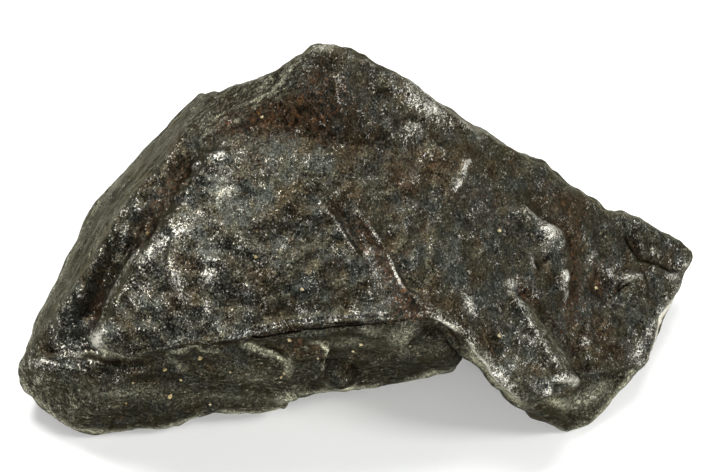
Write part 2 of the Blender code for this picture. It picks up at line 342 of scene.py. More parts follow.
# The finer shape is drawn stroke by stroke. A stroke's lines, middles and widths are in pixels of the
# photograph and its heights are in millimetres, in the order that ridge, lip and dome take them. Four
# lines come back below, where their pale crust and painted sheen, their rubbed wear and painted
# highlight, or their painted shade is drawn.
APEX_THREAD = [(301, 60), (284, 76), (271, 92), (249, 103), (232, 108)]
CREASE_LIP = [(197, 143), (203, 135), (213, 130), (222, 128)]
RIGHT_TEAR = [(360, 204), (380, 226), (396, 249), (400, 264), (410, 283), (425, 298), (435, 312)]
FLANK_STEP = [(144, 251), (127, 269), (108, 299)]
STROKES = (
    # Left flank: a trough runs down between the outer crest and the plateau.
    (ridge, [(196, 102), (162, 173), (131, 189), (114, 232), (90, 271), (75, 293), (64, 310), (53, 349)],
     7, 0.12),
    (ridge, [(129, 219), (118, 260), (104, 285)], 3.0, 0.14),
    (lip, FLANK_STEP, 0.10, 0.08, 1.5, 5, 5),
    (ridge, [(150, 205), (128, 245), (100, 290), (82, 330)], 12, -0.40, 30),
    (dome, (88, 310), 10, 18, -0.45, 30),
    (dome, (62, 350), 14, 8, -0.35, -20),
    (dome, (180, 170), 10, 6, -0.25, -50),
    # Rounded left shoulder of the plateau, its tip and the lip that hangs over the foot.
    (ridge, [(212, 154), (184, 201), (173, 221), (149, 249), (140, 275), (127, 288), (108, 308)],
     8, 0.14),
    (lip, [(212, 134), (195, 170), (165, 215), (135, 270), (104, 308), (97, 322)],
     0.14, 0.22, 8.0, 14, 14),
    (dome, (103, 335), 9, 10, 0.35),
    (lip, [(160, 354), (145, 356.5), (122, 355.5), (104, 352.5), (93, 348), (90, 338), (97, 323)],
     0.25, 0.30, 1.5, 5, 6),
    (ridge, [(95, 358), (130, 361)], 4, -0.25, 12),
    # Top: a soft dark crease under the apex, whose slope is rusty.
    (ridge, [(205, 136), (250, 126), (300, 128), (345, 142), (400, 150)], 20, -0.16, 60),
    (ridge, [(228, 118), (245, 113), (258, 118)], 6, 0.12),
    (ridge, APEX_THREAD, 2.2, 0.12, 10),
    (ridge, CREASE_LIP, 2.0, 0.14, 5),
    (dome, (345, 95), 26, 14, 0.22, 30),
    (dome, (300, 90), 20, 10, -0.20, -30),
    (ridge, [(372, 88), (405, 95), (432, 112), (447, 125)], 9, 0.40, 20),
    (ridge, [(360, 106), (400, 118), (425, 138)], 9, -0.22, 20),
    (dome, (412, 132), 12, 8, 0.25, -40),
    (lip, [(450, 113), (465, 121), (478, 133), (486, 147)], 0.15, 0.18, 1.5, 5, 5, 8),
    # Front edge of the plateau, the dark undercut below it and the ledges of the front wall.
    (ridge, [(160, 349), (180, 343), (208, 343), (228, 339), (254, 330), (295, 321), (333, 317),
     (371, 315), (400, 313)], 5, 0.12, 20),
    (ridge, [(165, 352), (180, 347.5), (208.7, 350), (227.8, 346), (254.6, 337), (294.8, 328.5),
     (333, 325), (371.3, 323), (395, 321)], 3.5, -0.40, 12),
    (dome, (412, 321), 16, 6, -0.60, -8),
    (lip, [(237, 346.4), (252.7, 349.2), (270, 355), (285, 359.7)], 0.24, 0.45, 1.2, 8, 6),
    (ridge, [(196, 349), (205, 353), (226, 353)], 2.5, 0.25, 5),
    (dome, (303, 348), 13, 6, -0.50),
    (lip, [(327, 348), (325, 358), (319, 367), (310, 377), (300, 386), (295, 394), (287, 403),
     (279, 409)], 0.55, 0.65, 1.6, 14, 12, 6),
    (ridge, [(304, 344), (318, 342), (327, 347), (325, 358), (318, 368), (309, 377)], 2.5, 0.28, 5),
    (dome, (283, 394), 14, 8, 0.30, -30),
    (dome, (340, 380), 15, 7, 1.0),
    (ridge, [(316, 374), (325, 368), (339, 366), (353, 369), (362, 378)], 3.5, -0.80, 6),
    (lip, [(416, 332), (408, 342), (396, 347), (386, 351)], 0.35, 0.35, 1.4, 10, 8, 5),
    (dome, (372, 331), 12, 5, 0.25),
    (dome, (402, 336), 12, 7, 0.30, -20),
    (dome, (440, 337), 22, 10, -0.55, 20),
    (ridge, [(345, 352), (380, 357), (430, 352)], 5, -0.22, 12),
    # Foot: its crest and the shallow arc beside it.
    (ridge, [(17, 367), (41, 362), (66, 366), (86, 374)], 5, 0.22, 8),
    (ridge, [(52, 362), (86, 369), (120, 368)], 3, -0.15, 10),
    (ridge, [(160, 361), (176, 373)], 2.5, 0.16, 4),
    (ridge, [(90, 384), (140, 381), (190, 386)], 5, -0.14, 16),
    (ridge, [(60, 402), (120, 404), (180, 400)], 6, 0.14, 20),
    # Tongue: a finger of metal with a sharp left edge, a groove and a smooth wall on its right.
    (lip, [(532, 404), (524, 400), (514, 393), (503, 383), (491, 371), (486, 360), (475, 351), (463, 334),
     (430, 318)], 0.26, 0.25, 1.8, 8, 10),
    (lip, [(516, 282), (533, 313), (552, 338), (568, 361), (579, 379)], 0.42, 0.50, 3.5, 16, 16, 10),
    (ridge, [(510, 288), (527, 324), (545, 349), (563, 376)], 4, 0.14, 12),
    (dome, (523, 290), 7, 12, -0.55, -25),
    (dome, (571, 380), 8, 6, 0.36, 30),
    (dome, (547, 392), 7, 5, 0.42),
    (dome, (590, 396), 10, 7, 0.24, -30),
    (dome, (557, 389), 3, 6, -0.34, 10),
    (dome, (534, 386), 6, 9, 0.20, -30),
    (dome, (560, 377), 6, 5, 0.20),
    (lip, [(600, 410), (589, 423), (567, 430), (545, 420), (530, 408)], 0.15, 0.05, 1.5, 6, 4, 6),
    (ridge, [(463, 334), (477, 351), (491, 369), (509, 386), (530, 402)], 2.4, 0.16, 8),
    (ridge, [(470, 315), (484, 338), (502, 362)], 6, -0.20, 15),
    (ridge, [(493, 322), (508, 348), (527, 372)], 6, 0.12, 15),
    (ridge, [(532, 404), (545, 402), (556, 398)], 3, -0.20, 6),
    # Seam between the main mass and the plate, with the bump and the flat facets beside it.
    (lip, [(505, 183), (514, 193), (533, 209), (552, 223), (569, 238), (573, 263), (571, 291),
     (574, 312)], 0.22, 0.36, 3.5, 16, 14, 30),
    (ridge, [(506, 184), (515, 194), (534, 210), (554, 224), (571, 239), (575, 263), (573, 291),
     (576, 312)], 4.5, -0.16, 25),
    (ridge, [(505, 205), (530, 222), (547, 236), (556, 250)], 9, 0.28, 15),
    (dome, (548, 236), 11, 9, 0.40),
    (dome, (544, 261), 10, 9, -0.34, -20),
    (ridge, [(533, 252), (533, 262), (540, 272)], 2.5, 0.14, 5),
    (ridge, [(565, 268), (566, 302)], 3.0, 0.22, 8),
    (dome, (551, 288), 13, 15, -0.28),
    (ridge, [(585, 232), (600, 262), (606, 300), (600, 335)], 14, -0.20, 25),
    # Plate: its raised lip, the groove along it, the torn right edge and the front crest.
    (ridge, [(610, 216), (640, 229), (668, 240), (690, 253)], 6, 0.18, 10),
    (ridge, [(625, 230), (640, 255), (668, 266), (684, 269)], 4.5, -0.42, 8),
    (dome, (657, 253), 26, 6, -0.22, 25),
    (dome, (598, 285), 12, 14, -0.45, 30),
    (ridge, [(628, 279), (617, 291), (606, 305)], 4, -0.30, 8),
    (ridge, [(611, 286), (628, 275), (648, 277)], 4, 0.26, 8),
    (dome, (610, 272), 7, 7, 0.25),
    (dome, (673, 278), 6, 6, 0.25),
    (dome, (594, 256), 5, 9, 0.20, 20),
    (ridge, [(598, 377), (620, 375), (641, 368)], 4, -0.30, 8),
    (dome, (584, 341), 7, 5, 0.22),
    (dome, (607, 330), 12, 8, 0.22, -30),
    (lip, [(687, 268), (670, 300), (657, 316), (655, 331), (650, 350), (642, 361)],
     0.22, 0.0, 1.5, 6, 4, 8),
    (lip, [(642, 361), (627, 370), (601, 373), (582, 376)], 0.22, 0.15, 2.0, 9, 8, 10),
    (dome, (628, 300), 22, 14, 0.28, 40),
    (dome, (612, 345), 18, 12, -0.22, 20),
    (ridge, [(600, 210), (606, 222), (603, 240)], 6, 0.20, 6),
    (dome, (655, 254), 8, 5, 0.18, 20),
    # Torn lines and dents on the main face.
    (ridge, [(318, 203), (335, 220), (345, 236), (361, 260), (370, 290), (380, 305)], 4, 0.13, 20),
    (ridge, [(326, 200), (343, 218), (353, 236), (369, 262), (378, 290), (388, 305)], 5, -0.13, 20),
    (ridge, [(350, 205), (370, 227), (387, 250), (392, 265), (402, 285), (418, 300), (430, 320)],
     3.5, 0.17, 20),
    (ridge, RIGHT_TEAR, 4, -0.08, 20),
    (ridge, [(388, 160), (402, 178), (413, 196)], 4, 0.12, 12),
    (ridge, [(472, 155), (462, 175), (454, 192)], 5, 0.20, 12),
    (ridge, [(463, 288), (467, 302), (472, 318)], 4.5, 0.16, 12),
    (dome, (445, 235), 30, 18, -0.20, 30),
    (dome, (300, 250), 40, 22, -0.15, 10),
    (dome, (185, 232), 12, 18, 0.20, 30),
    (dome, (222, 158), 10, 14, 0.25, 30),
    (dome, (240, 190), 18, 14, -0.20, 30),
    (dome, (150, 262), 12, 8, 0.20),
    (dome, (174, 276), 6, 14, 0.20, -15),
    (dome, (207, 277), 8, 9, 0.24),
    (dome, (190, 290), 7, 9, -0.18),
    (dome, (207, 310), 5, 8, 0.16),
    (dome, (246, 289), 7, 6, 0.16),
    (dome, (222, 262), 12, 6, 0.14, 20),
    (dome, (172, 290), 8, 7, -0.20),
    (dome, (222, 268), 9, 10, 0.18),
)
for stroke, *measures in STROKES:
    stroke(*measures)

# Shallow thumb marks and hammered unevenness all over, in place of the flat CAD facets. Each layer:
# its height, how far apart its swells are, the way and the times they are drawn out, and its seed.
LEVEL = (1.0, 0.0, 0.0)
DEPTH = (0.0, 1.0, 0.0)
FLANK_RUN = (0.516, 0.753, 0.408)
UNEVEN_LAYERS = {
    "thumb_marks": ((0.30, 7.0, LEVEL, 1.0, 3.1), (0.16, 3.2, LEVEL, 1.0, 7.7)),
    "hammered": ((0.085, 1.3, DEPTH, 1.7, 11.3), (0.07, 0.65, DEPTH, 1.5, 5.9)),
    "wall": ((0.10, 0.6, LEVEL, 1.8, 2.3), (0.18, 1.5, LEVEL, 2.0, 6.1)),
    "flank": ((0.10, 0.65, FLANK_RUN, 4.5, 8.3), (0.07, 2.2, FLANK_RUN, 4.0, 1.9)),
    "back": ((0.24, 1.9, LEVEL, 1.0, 4.4),),
}
NOISE_GAIN = 1.8

uneven = {}
for name, layers in UNEVEN_LAYERS.items():
    uneven[name] = np.zeros(len(points))
    for height, size, way, drawn_out, seed in layers:
        direction = np.array(way) / np.linalg.norm(way)
        places = points - np.outer(points @ direction * (1 - 1 / drawn_out), direction)
        swells = [noise.noise(place) for place in (places / size + seed).tolist()]
        uneven[name] += height * (NOISE_GAIN * np.array(swells))

# The plate and the plateau's left edge are hammered harder than the rest.
PLATE_MIDDLE = (635, 305)
PLATE_REACH = (55, 75)
PLATE_GAIN = 0.7
PLATEAU_EDGE = [(209, 140), (192, 172), (168, 205), (143, 240), (122, 270)]
EDGE_REACH = 40
EDGE_WIDTH = 14
EDGE_FADE = 15
EDGE_GAIN = 1.3
uneven["hammered"] *= 1 + PLATE_GAIN * patch(PLATE_MIDDLE, *PLATE_REACH, 0) * facing
near, aside, along, length = beside(PLATEAU_EDGE, EDGE_REACH)
edge_gain = EDGE_GAIN * np.exp(-((aside / EDGE_WIDTH) ** 2)) * taper(along, length, EDGE_FADE)
uneven["hammered"][near] *= 1 + edge_gain

# Where each kind of unevenness lies: how level the skin may be, which way it faces, and which part
# of the fragment it is on. The wall beside the tongue is calmer, and so is its foot.
WALL_STEEP = (0.80, 0.45)
WALL_FORWARD = (-0.2, -0.6)
FLANK_STEEP = (0.85, 0.55)
FLANK_SIDEWAYS = (0.25, 0.50)
FLANK_SPAN = (-2.0, -6.0)
TURNED_AWAY = (0.0, -0.35)
CALMER_SPANS = ((0.35, 5.0, 7.0), (0.45, 7.4, 8.4))
WALL_RISE = (0.2, 2.0)
SEEN_CALM = 0.45
STREAKY_CALM = 0.6
level_wall = between(*WALL_STEEP, np.abs(outward[:, 2])) * between(*WALL_FORWARD, outward[:, 1])
left_flank = between(*FLANK_STEEP, np.abs(outward[:, 2])) * between(*FLANK_SIDEWAYS, -outward[:, 0])
left_flank *= (1 - level_wall) * between(*FLANK_SPAN, points[:, 0])
unseen = between(*TURNED_AWAY, outward @ np.array(TO_VIEWER))
calmer = sum(share * between(start, end, points[:, 0]) for share, start, end in CALMER_SPANS)
wall_share = level_wall * (1 - calmer) * between(*WALL_RISE, points[:, 2])
hammered = uneven["hammered"] * (1 - STREAKY_CALM * np.maximum(level_wall, left_flank))
relief += uneven["thumb_marks"] * (1 - SEEN_CALM * facing) + hammered
relief += uneven["back"] * unseen
relief += uneven["wall"] * wall_share + uneven["flank"] * left_flank

BOX_MARGIN = 0.3
points += outward * (relief * (1 - resting))[:, None]
points = smoothed(points, 1, SOFTENING)
low_corner = np.array(cad_box[0]) / MM - BOX_MARGIN
high_corner = np.array(cad_box[1]) / MM + BOX_MARGIN
points = np.clip(points, low_corner, high_corner)
points[:, 2] = np.maximum(points[:, 2], 0.0)
outward = normals_of(points)


def store(name, values):
    """Keeps one number for each vertex, which the material reads by name."""
    attribute = even_mesh.attributes.new(name, "FLOAT", "POINT")
    attribute.data.foreach_set("value", values.astype(np.float32))


# How hollow or proud each place is, at two sizes: rust gathers in hollows, the hollows also get painted
# shade, and wear polishes edges.
# Each size: how many passes of smoothing show it, and how far in or out the skin lies from least to
# most, with the share that it gives.
BENDS = (
    (6, {"hollow": (0.004, 0.05, 0.5), "proud": (0.006, 0.045, 0.7)}),
    (80, {"hollow": (0.02, 0.25, 0.8), "proud": (0.04, 0.28, 0.4)}),
)
bent = {"hollow": np.zeros(len(points)), "proud": np.zeros(len(points))}
for passes, ways in BENDS:
    inward = ((smoothed(points, passes) - points) * outward).sum(axis=1)
    for name, (least, most, share) in ways.items():
        bent[name] += between(least, most, inward if name == "hollow" else -inward) * share
store("hollow", bent["hollow"])
store("proud", bent["proud"])


def spots(marks):
    """A share on each vertex from spots on the photograph: place, two half widths, turn and strength."""
    total = np.zeros(len(points))
    for middle, across, down, turn, strength in marks:
        total += strength * patch(middle, across, down, turn) * facing
    return total


# A coloured line fades out over a third of its length at both ends, or over this many pixels.
LONGEST_FADE = 20


def drawn(line, width, strength):
    """A share on each vertex along a line on the photograph."""
    near, aside, along, length = beside(line, width * FADED_OUT)
    profile = strength * np.exp(-((aside / width) ** 2))
    share = np.zeros(len(points))
    share[near] = profile * taper(along, length, min(LONGEST_FADE, length / 3)) * facing[near]
    return share


# Places that have been rubbed bright, which are partly painted highlights where the lamps catch them:
# edges, lips and the tops of bumps. Spots give their place, two half widths, turn and strength. Lines
# give their places, half width and strength.
TONGUE_EDGE = [(463, 335), (475, 352), (486, 362), (492, 372), (504, 384), (525, 401)]
WEAR_AND_HIGHLIGHT_SPOTS = (
    ((184, 230), 8, 16, 25, 0.7), ((222, 160), 10, 16, 25, 0.6), ((165, 242), 16, 6, -40, 0.6),
    ((147, 262), 6, 14, 30, 0.6), ((175, 278), 7, 16, -20, 0.8), ((207, 277), 9, 8, 0, 1.0),
    ((140, 290), 16, 14, -40, 0.4), ((184, 297), 6, 8, 0, 0.5), ((212, 262), 12, 6, 20, 0.5),
    ((246, 289), 7, 6, 0, 0.6), ((208, 311), 4, 9, 0, 0.7), ((224, 188), 9, 14, 10, 0.5),
    ((202, 212), 7, 6, 40, 0.5), ((185, 201), 8, 5, 30, 0.5), ((205, 320), 40, 12, 0, 0.25),
    ((215, 265), 55, 60, 0, 0.12), ((100, 341), 5, 7, 30, 1.8), ((41, 364), 11, 5, 0, 1.0),
    ((422, 102), 30, 9, 38, 0.9), ((412, 130), 12, 10, 0, 0.8), ((462, 172), 5, 20, 25, 0.4),
    ((475, 132), 14, 5, 45, 0.5), ((547, 232), 9, 13, 0, 1.0), ((534, 215), 16, 7, 40, 0.5),
    ((565, 286), 4, 18, 0, 0.3), ((571, 381), 7, 5, 30, 1.6), ((547, 391), 6, 5, 0, 1.5),
    ((561, 379), 6, 4, 0, 0.9), ((590, 398), 12, 7, -30, 0.4), ((534, 386), 5, 9, -30, 0.6),
    ((527, 340), 12, 4, 30, 0.7), ((512, 366), 6, 5, 0, 0.6), ((500, 372), 30, 5, 48, 0.9),
    ((467, 302), 5, 16, -20, 0.8), ((516, 286), 9, 7, 0, 1.0), ((508, 330), 26, 12, 50, 0.25),
    ((655, 252), 9, 5, 20, 0.8), ((684, 264), 7, 6, 0, 0.9), ((660, 315), 6, 40, 33, 0.7),
    ((340, 80), 14, 10, 30, 0.15), ((372, 262), 5, 30, -20, 0.6), ((440, 322), 14, 5, 35, 0.4),
    ((634, 277), 16, 5, -10, 0.7), ((610, 273), 6, 6, 0, 0.8), ((673, 277), 6, 6, 0, 0.9),
    ((593, 256), 4, 8, 20, 0.6), ((584, 341), 7, 5, 0, 0.6), ((642, 362), 8, 5, -30, 0.8),
    ((640, 352), 14, 10, -50, 0.5), ((60, 320), 10, 25, 25, 0.3), ((73, 349), 16, 10, 0, 0.9),
    ((89, 332), 6, 12, 20, 0.6),
)
WEAR_AND_HIGHLIGHT_LINES = (
    ([(430, 316), (448, 325), (463, 335)], 1.3, 0.7),
    (TONGUE_EDGE, 1.5, 1.7),
    ([(690, 268), (674, 299), (661, 316), (658, 331), (653, 349), (645, 362)], 1.5, 2.4),
    ([(93, 330), (93, 340), (97, 350), (122, 354), (160, 354)], 1.4, 0.5),
    ([(532, 250), (533, 262), (538, 270)], 2.0, 1.0),
    ([(565, 268), (566, 276), (565, 284)], 2.0, 1.3),
    ([(566, 288), (566, 296), (565, 305)], 2.0, 1.2),
    ([(471, 157), (465, 168), (462, 178)], 1.8, 1.0),
    ([(461, 178), (458, 186), (454, 193)], 2.6, 1.0),
    ([(510, 288), (528, 324), (546, 350), (563, 376)], 3.0, 0.45),
    ([(225, 337), (254, 330), (295, 321), (333, 317), (400, 312)], 2.0, 0.3),
    (FLANK_STEP, 1.6, 0.8),
    (CREASE_LIP, 1.2, 0.3),
    ([(129, 219), (118, 260)], 2.0, 0.6),
    ([(316, 201), (335, 220), (345, 236), (361, 260)], 1.4, 0.55),
    ([(366, 266), (374, 285), (385, 305)], 1.4, 0.7),
    ([(352, 207), (371, 229), (388, 252)], 1.2, 0.7),
    ([(386, 248), (392, 264), (400, 282), (408, 294)], 1.4, 1.5),
)
# Places where rust has settled.
RUSTY_SPOTS = (
    ((290, 113), 60, 18, 5, 1.6), ((96, 308), 6, 17, 15, 2.2), ((108, 359), 22, 4, 5, 2.0),
    ((308, 347), 14, 6, 0, 1.8), ((412, 310), 19, 10, 15, 3.0), ((402, 178), 8, 24, -30, 1.1),
    ((366, 236), 9, 30, -32, 1.2), ((396, 285), 9, 30, -28, 1.5), ((574, 265), 9, 45, 0, 1.0),
    ((600, 275), 20, 26, 0, 0.7), ((560, 200), 34, 10, 38, 0.7), ((525, 290), 7, 14, -20, 1.0),
    ((440, 165), 26, 12, 10, 0.7), ((170, 186), 12, 30, 30, 1.0), ((146, 228), 11, 26, 28, 0.9),
    ((322, 82), 38, 18, 20, 0.9), ((234, 122), 34, 9, -8, 0.9), ((216, 128), 22, 7, -20, 0.7),
    ((580, 320), 30, 14, 30, 0.5), ((470, 195), 24, 10, 0, 0.5), ((255, 160), 24, 14, 0, 0.3),
    ((560, 355), 12, 12, 0, 0.4), ((495, 218), 30, 14, 0, 0.35),
)
# Pale greenish crust on the lips and ledges of the front wall, with painted sheen where thin rims and
# sides face the white floor: along the rim that it stands on, the tip, the tongue's side wall, the
# nodule's underside and the left outline.
PALE_SPOTS = (
    ((372, 331), 11, 3, 0, 0.45), ((402, 335), 12, 6, -20, 0.6), ((283, 394), 14, 5, -30, 0.8),
    ((288, 366), 4, 7, 20, 0.8), ((342, 387), 12, 3, 0, 0.7), ((178, 365), 9, 3, 40, 0.3),
    ((255, 375), 24, 5, 5, 0.2), ((350, 345), 30, 6, 0, 0.2), ((120, 392), 40, 6, 0, 0.2),
    ((230, 398), 40, 5, 0, 0.2), ((420, 352), 30, 5, -5, 0.2), ((105, 353), 14, 2.5, 5, 0.5),
    ((584, 399), 16, 6, -20, 0.7), ((558, 404), 16, 4, 15, 0.6), ((602, 388), 10, 6, -40, 0.4),
    ((328, 48), 16, 5, 0, 0.45), ((222, 192), 8, 13, 10, 0.25), ((350, 60), 10, 10, 0, 0.12),
)
PALE_LINES = (
    ([(237, 346.4), (252.7, 349.2), (270, 355), (285, 359.7), (289, 368)], 1.3, 1.5),
    ([(160, 357), (180, 352), (196, 349.2), (205, 353), (226, 353)], 1.1, 0.6),
    ([(304, 344), (318, 342), (327, 347), (325, 358), (318, 368), (309, 377), (300, 386), (295, 394),
     (287, 403), (279, 409)], 1.4, 1.5),
    ([(415, 333), (408, 343), (396, 347.5), (386, 351.5)], 1.5, 1.0),
    ([(322, 380), (328, 386), (340, 388), (353, 385), (359, 378)], 1.8, 1.4),
    (CREASE_LIP, 1.2, 0.6),
    ([(18, 372), (34, 398), (50, 413), (71, 427), (110, 432), (161, 428), (195, 416), (211, 412)],
     2.0, 0.9),
    ([(211, 412), (250, 413), (276, 410), (296, 398), (316, 397), (352, 389), (391, 386)], 2.4, 1.1),
    ([(391, 386), (417, 380), (450, 372), (460, 362)], 2.2, 1.0),
    ([(430, 314), (448, 325), (464, 336)], 1.4, 0.5),
    (TONGUE_EDGE, 1.3, 1.0),
    ([(464, 342), (474, 358), (487, 372), (500, 388), (514, 400), (533, 411)], 5.0, 0.9),
    ([(546, 422), (567, 432), (589, 423), (600, 411), (622, 386), (644, 364)], 2.2, 0.9),
    ([(17, 361), (36, 324), (60, 278), (81, 234), (115, 188), (156, 131), (195, 97)], 3.0, 0.3),
    ([(519, 292), (534, 316), (552, 341), (567, 362), (577, 376)], 4.5, 0.5),
    (APEX_THREAD, 1.3, 0.9),
    ([(207, 119), (217, 119)], 2.0, 0.8),
    ([(232, 121), (242, 121)], 2.0, 0.8),
    ([(92, 326), (91, 338), (96, 347), (108, 352), (125, 356), (145, 357)], 1.5, 1.6),
)
# Painted shade: dark patches and lines in the creases, the undercut and the pits, where shade falls.
PAINTED_SHADE_SPOTS = (
    ((290, 114), 66, 20, 5, 1.3), ((172, 186), 12, 32, 30, 0.7), ((148, 226), 12, 26, 28, 0.7),
    ((122, 240), 13, 20, 25, 0.3), ((325, 84), 30, 14, 20, 0.3), ((98, 290), 11, 22, 25, 0.4),
    ((78, 325), 12, 14, 20, 0.3), ((60, 352), 8, 6, 0, 0.4), ((303, 348), 14, 6, 0, 0.6),
    ((412, 320), 18, 6, -6, 1.1), ((440, 336), 20, 9, 20, 1.0), ((455, 352), 14, 10, 40, 1.1),
    ((527, 291), 7, 13, -25, 1.2), ((598, 285), 12, 15, 30, 1.0), ((551, 288), 12, 14, 0, 0.5),
    ((470, 200), 26, 12, 0, 0.3), ((400, 165), 26, 12, 20, 0.4), ((125, 359), 34, 4, 3, 1.0),
    ((657, 251), 30, 10, 25, 0.9), ((350, 381), 9, 8, 0, 0.5), ((612, 345), 20, 10, 20, 0.35),
    ((615, 361), 26, 8, -15, 0.6), ((560, 195), 30, 9, 38, 0.4),
)
PAINTED_SHADE_LINES = (
    ([(205, 141), (225, 134), (250, 131), (290, 133), (330, 146), (360, 150), (400, 152)], 13, 0.5),
    ([(207, 140), (190, 175), (165, 205), (140, 240), (120, 270), (103, 300), (93, 318), (88, 335)],
     9, 0.18),
    ([(160, 351), (180, 347), (209, 350), (228, 345), (255, 336), (295, 328), (333, 325)], 3.5, 1.3),
    ([(325, 325), (371, 323), (395, 321), (425, 323)], 3.0, 0.9),
    ([(237, 343), (253, 345), (270, 350), (288, 356)], 2.6, 1.0),
    ([(331, 350), (329, 360), (322, 370), (312, 381), (303, 390), (296, 400), (289, 407)], 3.5, 0.8),
    ([(319, 376), (327, 370), (340, 367), (353, 370), (362, 379), (356, 388)], 3.5, 1.0),
    ([(419, 334), (411, 345), (399, 351), (388, 355)], 3.0, 0.9),
    ([(326, 202), (343, 219), (353, 236), (369, 262), (378, 290), (388, 305)], 5.0, 0.35),
    ([(343, 207), (363, 229), (380, 252), (386, 268), (396, 288), (412, 303), (425, 316)], 5.0, 0.30),
    (RIGHT_TEAR, 3.5, 0.2),
    ([(506, 184), (515, 194), (534, 210), (554, 224), (572, 239), (577, 263), (576, 291), (579, 314)],
     6.0, 1.0),
    ([(527, 284), (544, 310), (562, 333), (577, 354), (587, 374)], 3.5, 1.3),
    ([(625, 230), (640, 256), (666, 268), (682, 270)], 3.5, 1.0),
    ([(628, 280), (617, 292), (606, 306)], 4.0, 0.9),
    ([(585, 384), (605, 382), (630, 377), (645, 366)], 5.0, 0.7),
    ([(392, 160), (406, 178), (416, 196)], 4.0, 0.5),
    ([(530, 408), (545, 406), (558, 401)], 2.5, 0.7),
    ([(86, 378), (60, 371), (40, 370)], 3.0, 0.5),
)
MARKS = {
    "wear_and_highlight": (WEAR_AND_HIGHLIGHT_SPOTS, WEAR_AND_HIGHLIGHT_LINES),
    "rusty": (RUSTY_SPOTS, ()),
    "pale": (PALE_SPOTS, PALE_LINES),
    "painted_shade": (PAINTED_SHADE_SPOTS, PAINTED_SHADE_LINES),
}
for name, (marked_spots, marked_lines) in MARKS.items():
    total = spots(marked_spots)
    for line, width, strength in marked_lines:
        total += drawn(line, width, strength)
    store(name, total)

# The steep sides are drawn out in streaks: along the flank on the left, and level elsewhere. The
# slope at the top left is streaky too, and the torn end of the tongue isn't.
BROAD_PASSES = 60
STREAKY_STEEP = (0.75, 0.45)
STREAKY_SIDEWAYS = (0.25, 0.6)
STREAKY_SPAN = (-4.0, -9.0)
STREAKY_SLOPE = (
    ((235, 99), 46, 14, -16, 1.4), ((278, 76), 30, 9, -30, 1.2), ((205, 118), 20, 14, -40, 1.2),
)
TORN_END = (
    ((556, 386), 27, 13, 25, 1.4), ((512, 372), 22, 12, 48, 0.8),
)
broad_outward = smoothed(outward, BROAD_PASSES)
broad_outward /= np.linalg.norm(broad_outward, axis=1)[:, None]
steep = between(*STREAKY_STEEP, np.abs(broad_outward[:, 2]))
flank_side = steep * between(*STREAKY_SIDEWAYS, -broad_outward[:, 0])
flank_side *= between(*STREAKY_SPAN, points[:, 0])
flank_side = np.maximum(flank_side, np.clip(spots(STREAKY_SLOPE), 0.0, 1.0))
store("flank_streaks", flank_side)
store("wall_streaks", steep * (1 - flank_side) * (1 - np.clip(spots(TORN_END), 0.0, 1.0)))

# The skin is thinned where the photograph doesn't show it, so that the seen side keeps its fine lips.
MOST_TRIANGLES = 196000
THINNING_STEPS = 10
UNSEEN_WEIGHT = 10.0
spare = rock.vertex_groups.new(name="unseen_side")
for step in range(THINNING_STEPS + 1):
    chosen = np.nonzero(np.round((1 - facing) * THINNING_STEPS) == step)[0]
    spare.add(chosen.tolist(), step / THINNING_STEPS, "REPLACE")
thin = rock.modifiers.new("thinned", "DECIMATE")
thin.ratio = MOST_TRIANGLES / sum(len(p.vertices) - 2 for p in even_mesh.polygons)
thin.vertex_group = spare.name
thin.vertex_group_factor = UNSEEN_WEIGHT
graph = bpy.context.evaluated_depsgraph_get()
thin_mesh = bpy.data.meshes.new_from_object(rock.evaluated_get(graph))
rock.modifiers.clear()
rock.vertex_groups.clear()
rock.data = thin_mesh
thin_mesh.name = "iron_meteorite"
for polygon in thin_mesh.polygons:
    polygon.use_smooth = True

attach(rock, "root")
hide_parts("meteorite")

# Weathered nickel iron: a torn surface, dulled by oxide and rubbed bright on its grain tops. Under a
# lamp it looks like coarse pepper and salt, brown in the hollows and silver along worn edges. Its colour
# also holds painted shade in the creases, painted highlights on the rubbed places and painted sheen on
# the pale rims.
BLUE_GREY_OXIDE = "#363833"
BROWN_OXIDE = "#352e21"
OLIVE_OXIDE = "#3b392d"
WALL_BROWN = "#15130c"
WORN_AND_HIGHLIT_GREY = "#83837c"
DARK_PORE = "#080806"
PAINTED_SHADE_BROWN = "#17110b"
DEEP_RUST = "#2f1e0c"
BRIGHT_RUST = "#6e4520"
PALE_CRUST_AND_SHEEN = "#94937c"
COOL_STEEL = "#cccecb"
WARM_STEEL = "#c5bea9"
EDGE_TINT = "#d3d0c4"

iron = bpy.data.materials.new("weathered_nickel_iron")
iron.use_nodes = True
iron_nodes = iron.node_tree
shader = iron_nodes.nodes["Principled BSDF"]
found = {}
for name in (
    "hollow", "proud", "wear_and_highlight", "rusty", "pale", "painted_shade", "flank_streaks", "wall_streaks",
):
    found[name] = add_node(iron_nodes, "ShaderNodeAttribute", attribute_name=name)["Fac"]

# The grain is drawn out a little from front to back, the way the skin tore. The streaks run round a
# middle point along the flank, and nearly level along the wall.
GRAIN_SHRINK = 0.7
WALL_TILT = math.radians(14.0)
WALL_SHRINK = (0.45, 0.75, 1.0)
STREAK_MIDDLE = (0.0, -8.0, 0.0)
STREAK_RADIUS = 18.0
STREAK_SHRINK = 0.16
place = add_node(iron_nodes, "ShaderNodeTexCoord")["Object"]
to_millimetres = {"Vector": place, "Scale": (1 / MM, 1 / MM, 1 / MM)}
millimetres = add_node(iron_nodes, "ShaderNodeMapping", to_millimetres)[0]
to_grain = {"Vector": millimetres, "Scale": (1.0, GRAIN_SHRINK, 1.0)}
along_grain = add_node(iron_nodes, "ShaderNodeMapping", to_grain)[0]
to_wall = {"Vector": millimetres, "Rotation": (0.0, WALL_TILT, 0.0), "Scale": WALL_SHRINK}
along_wall = add_node(iron_nodes, "ShaderNodeMapping", to_wall)[0]
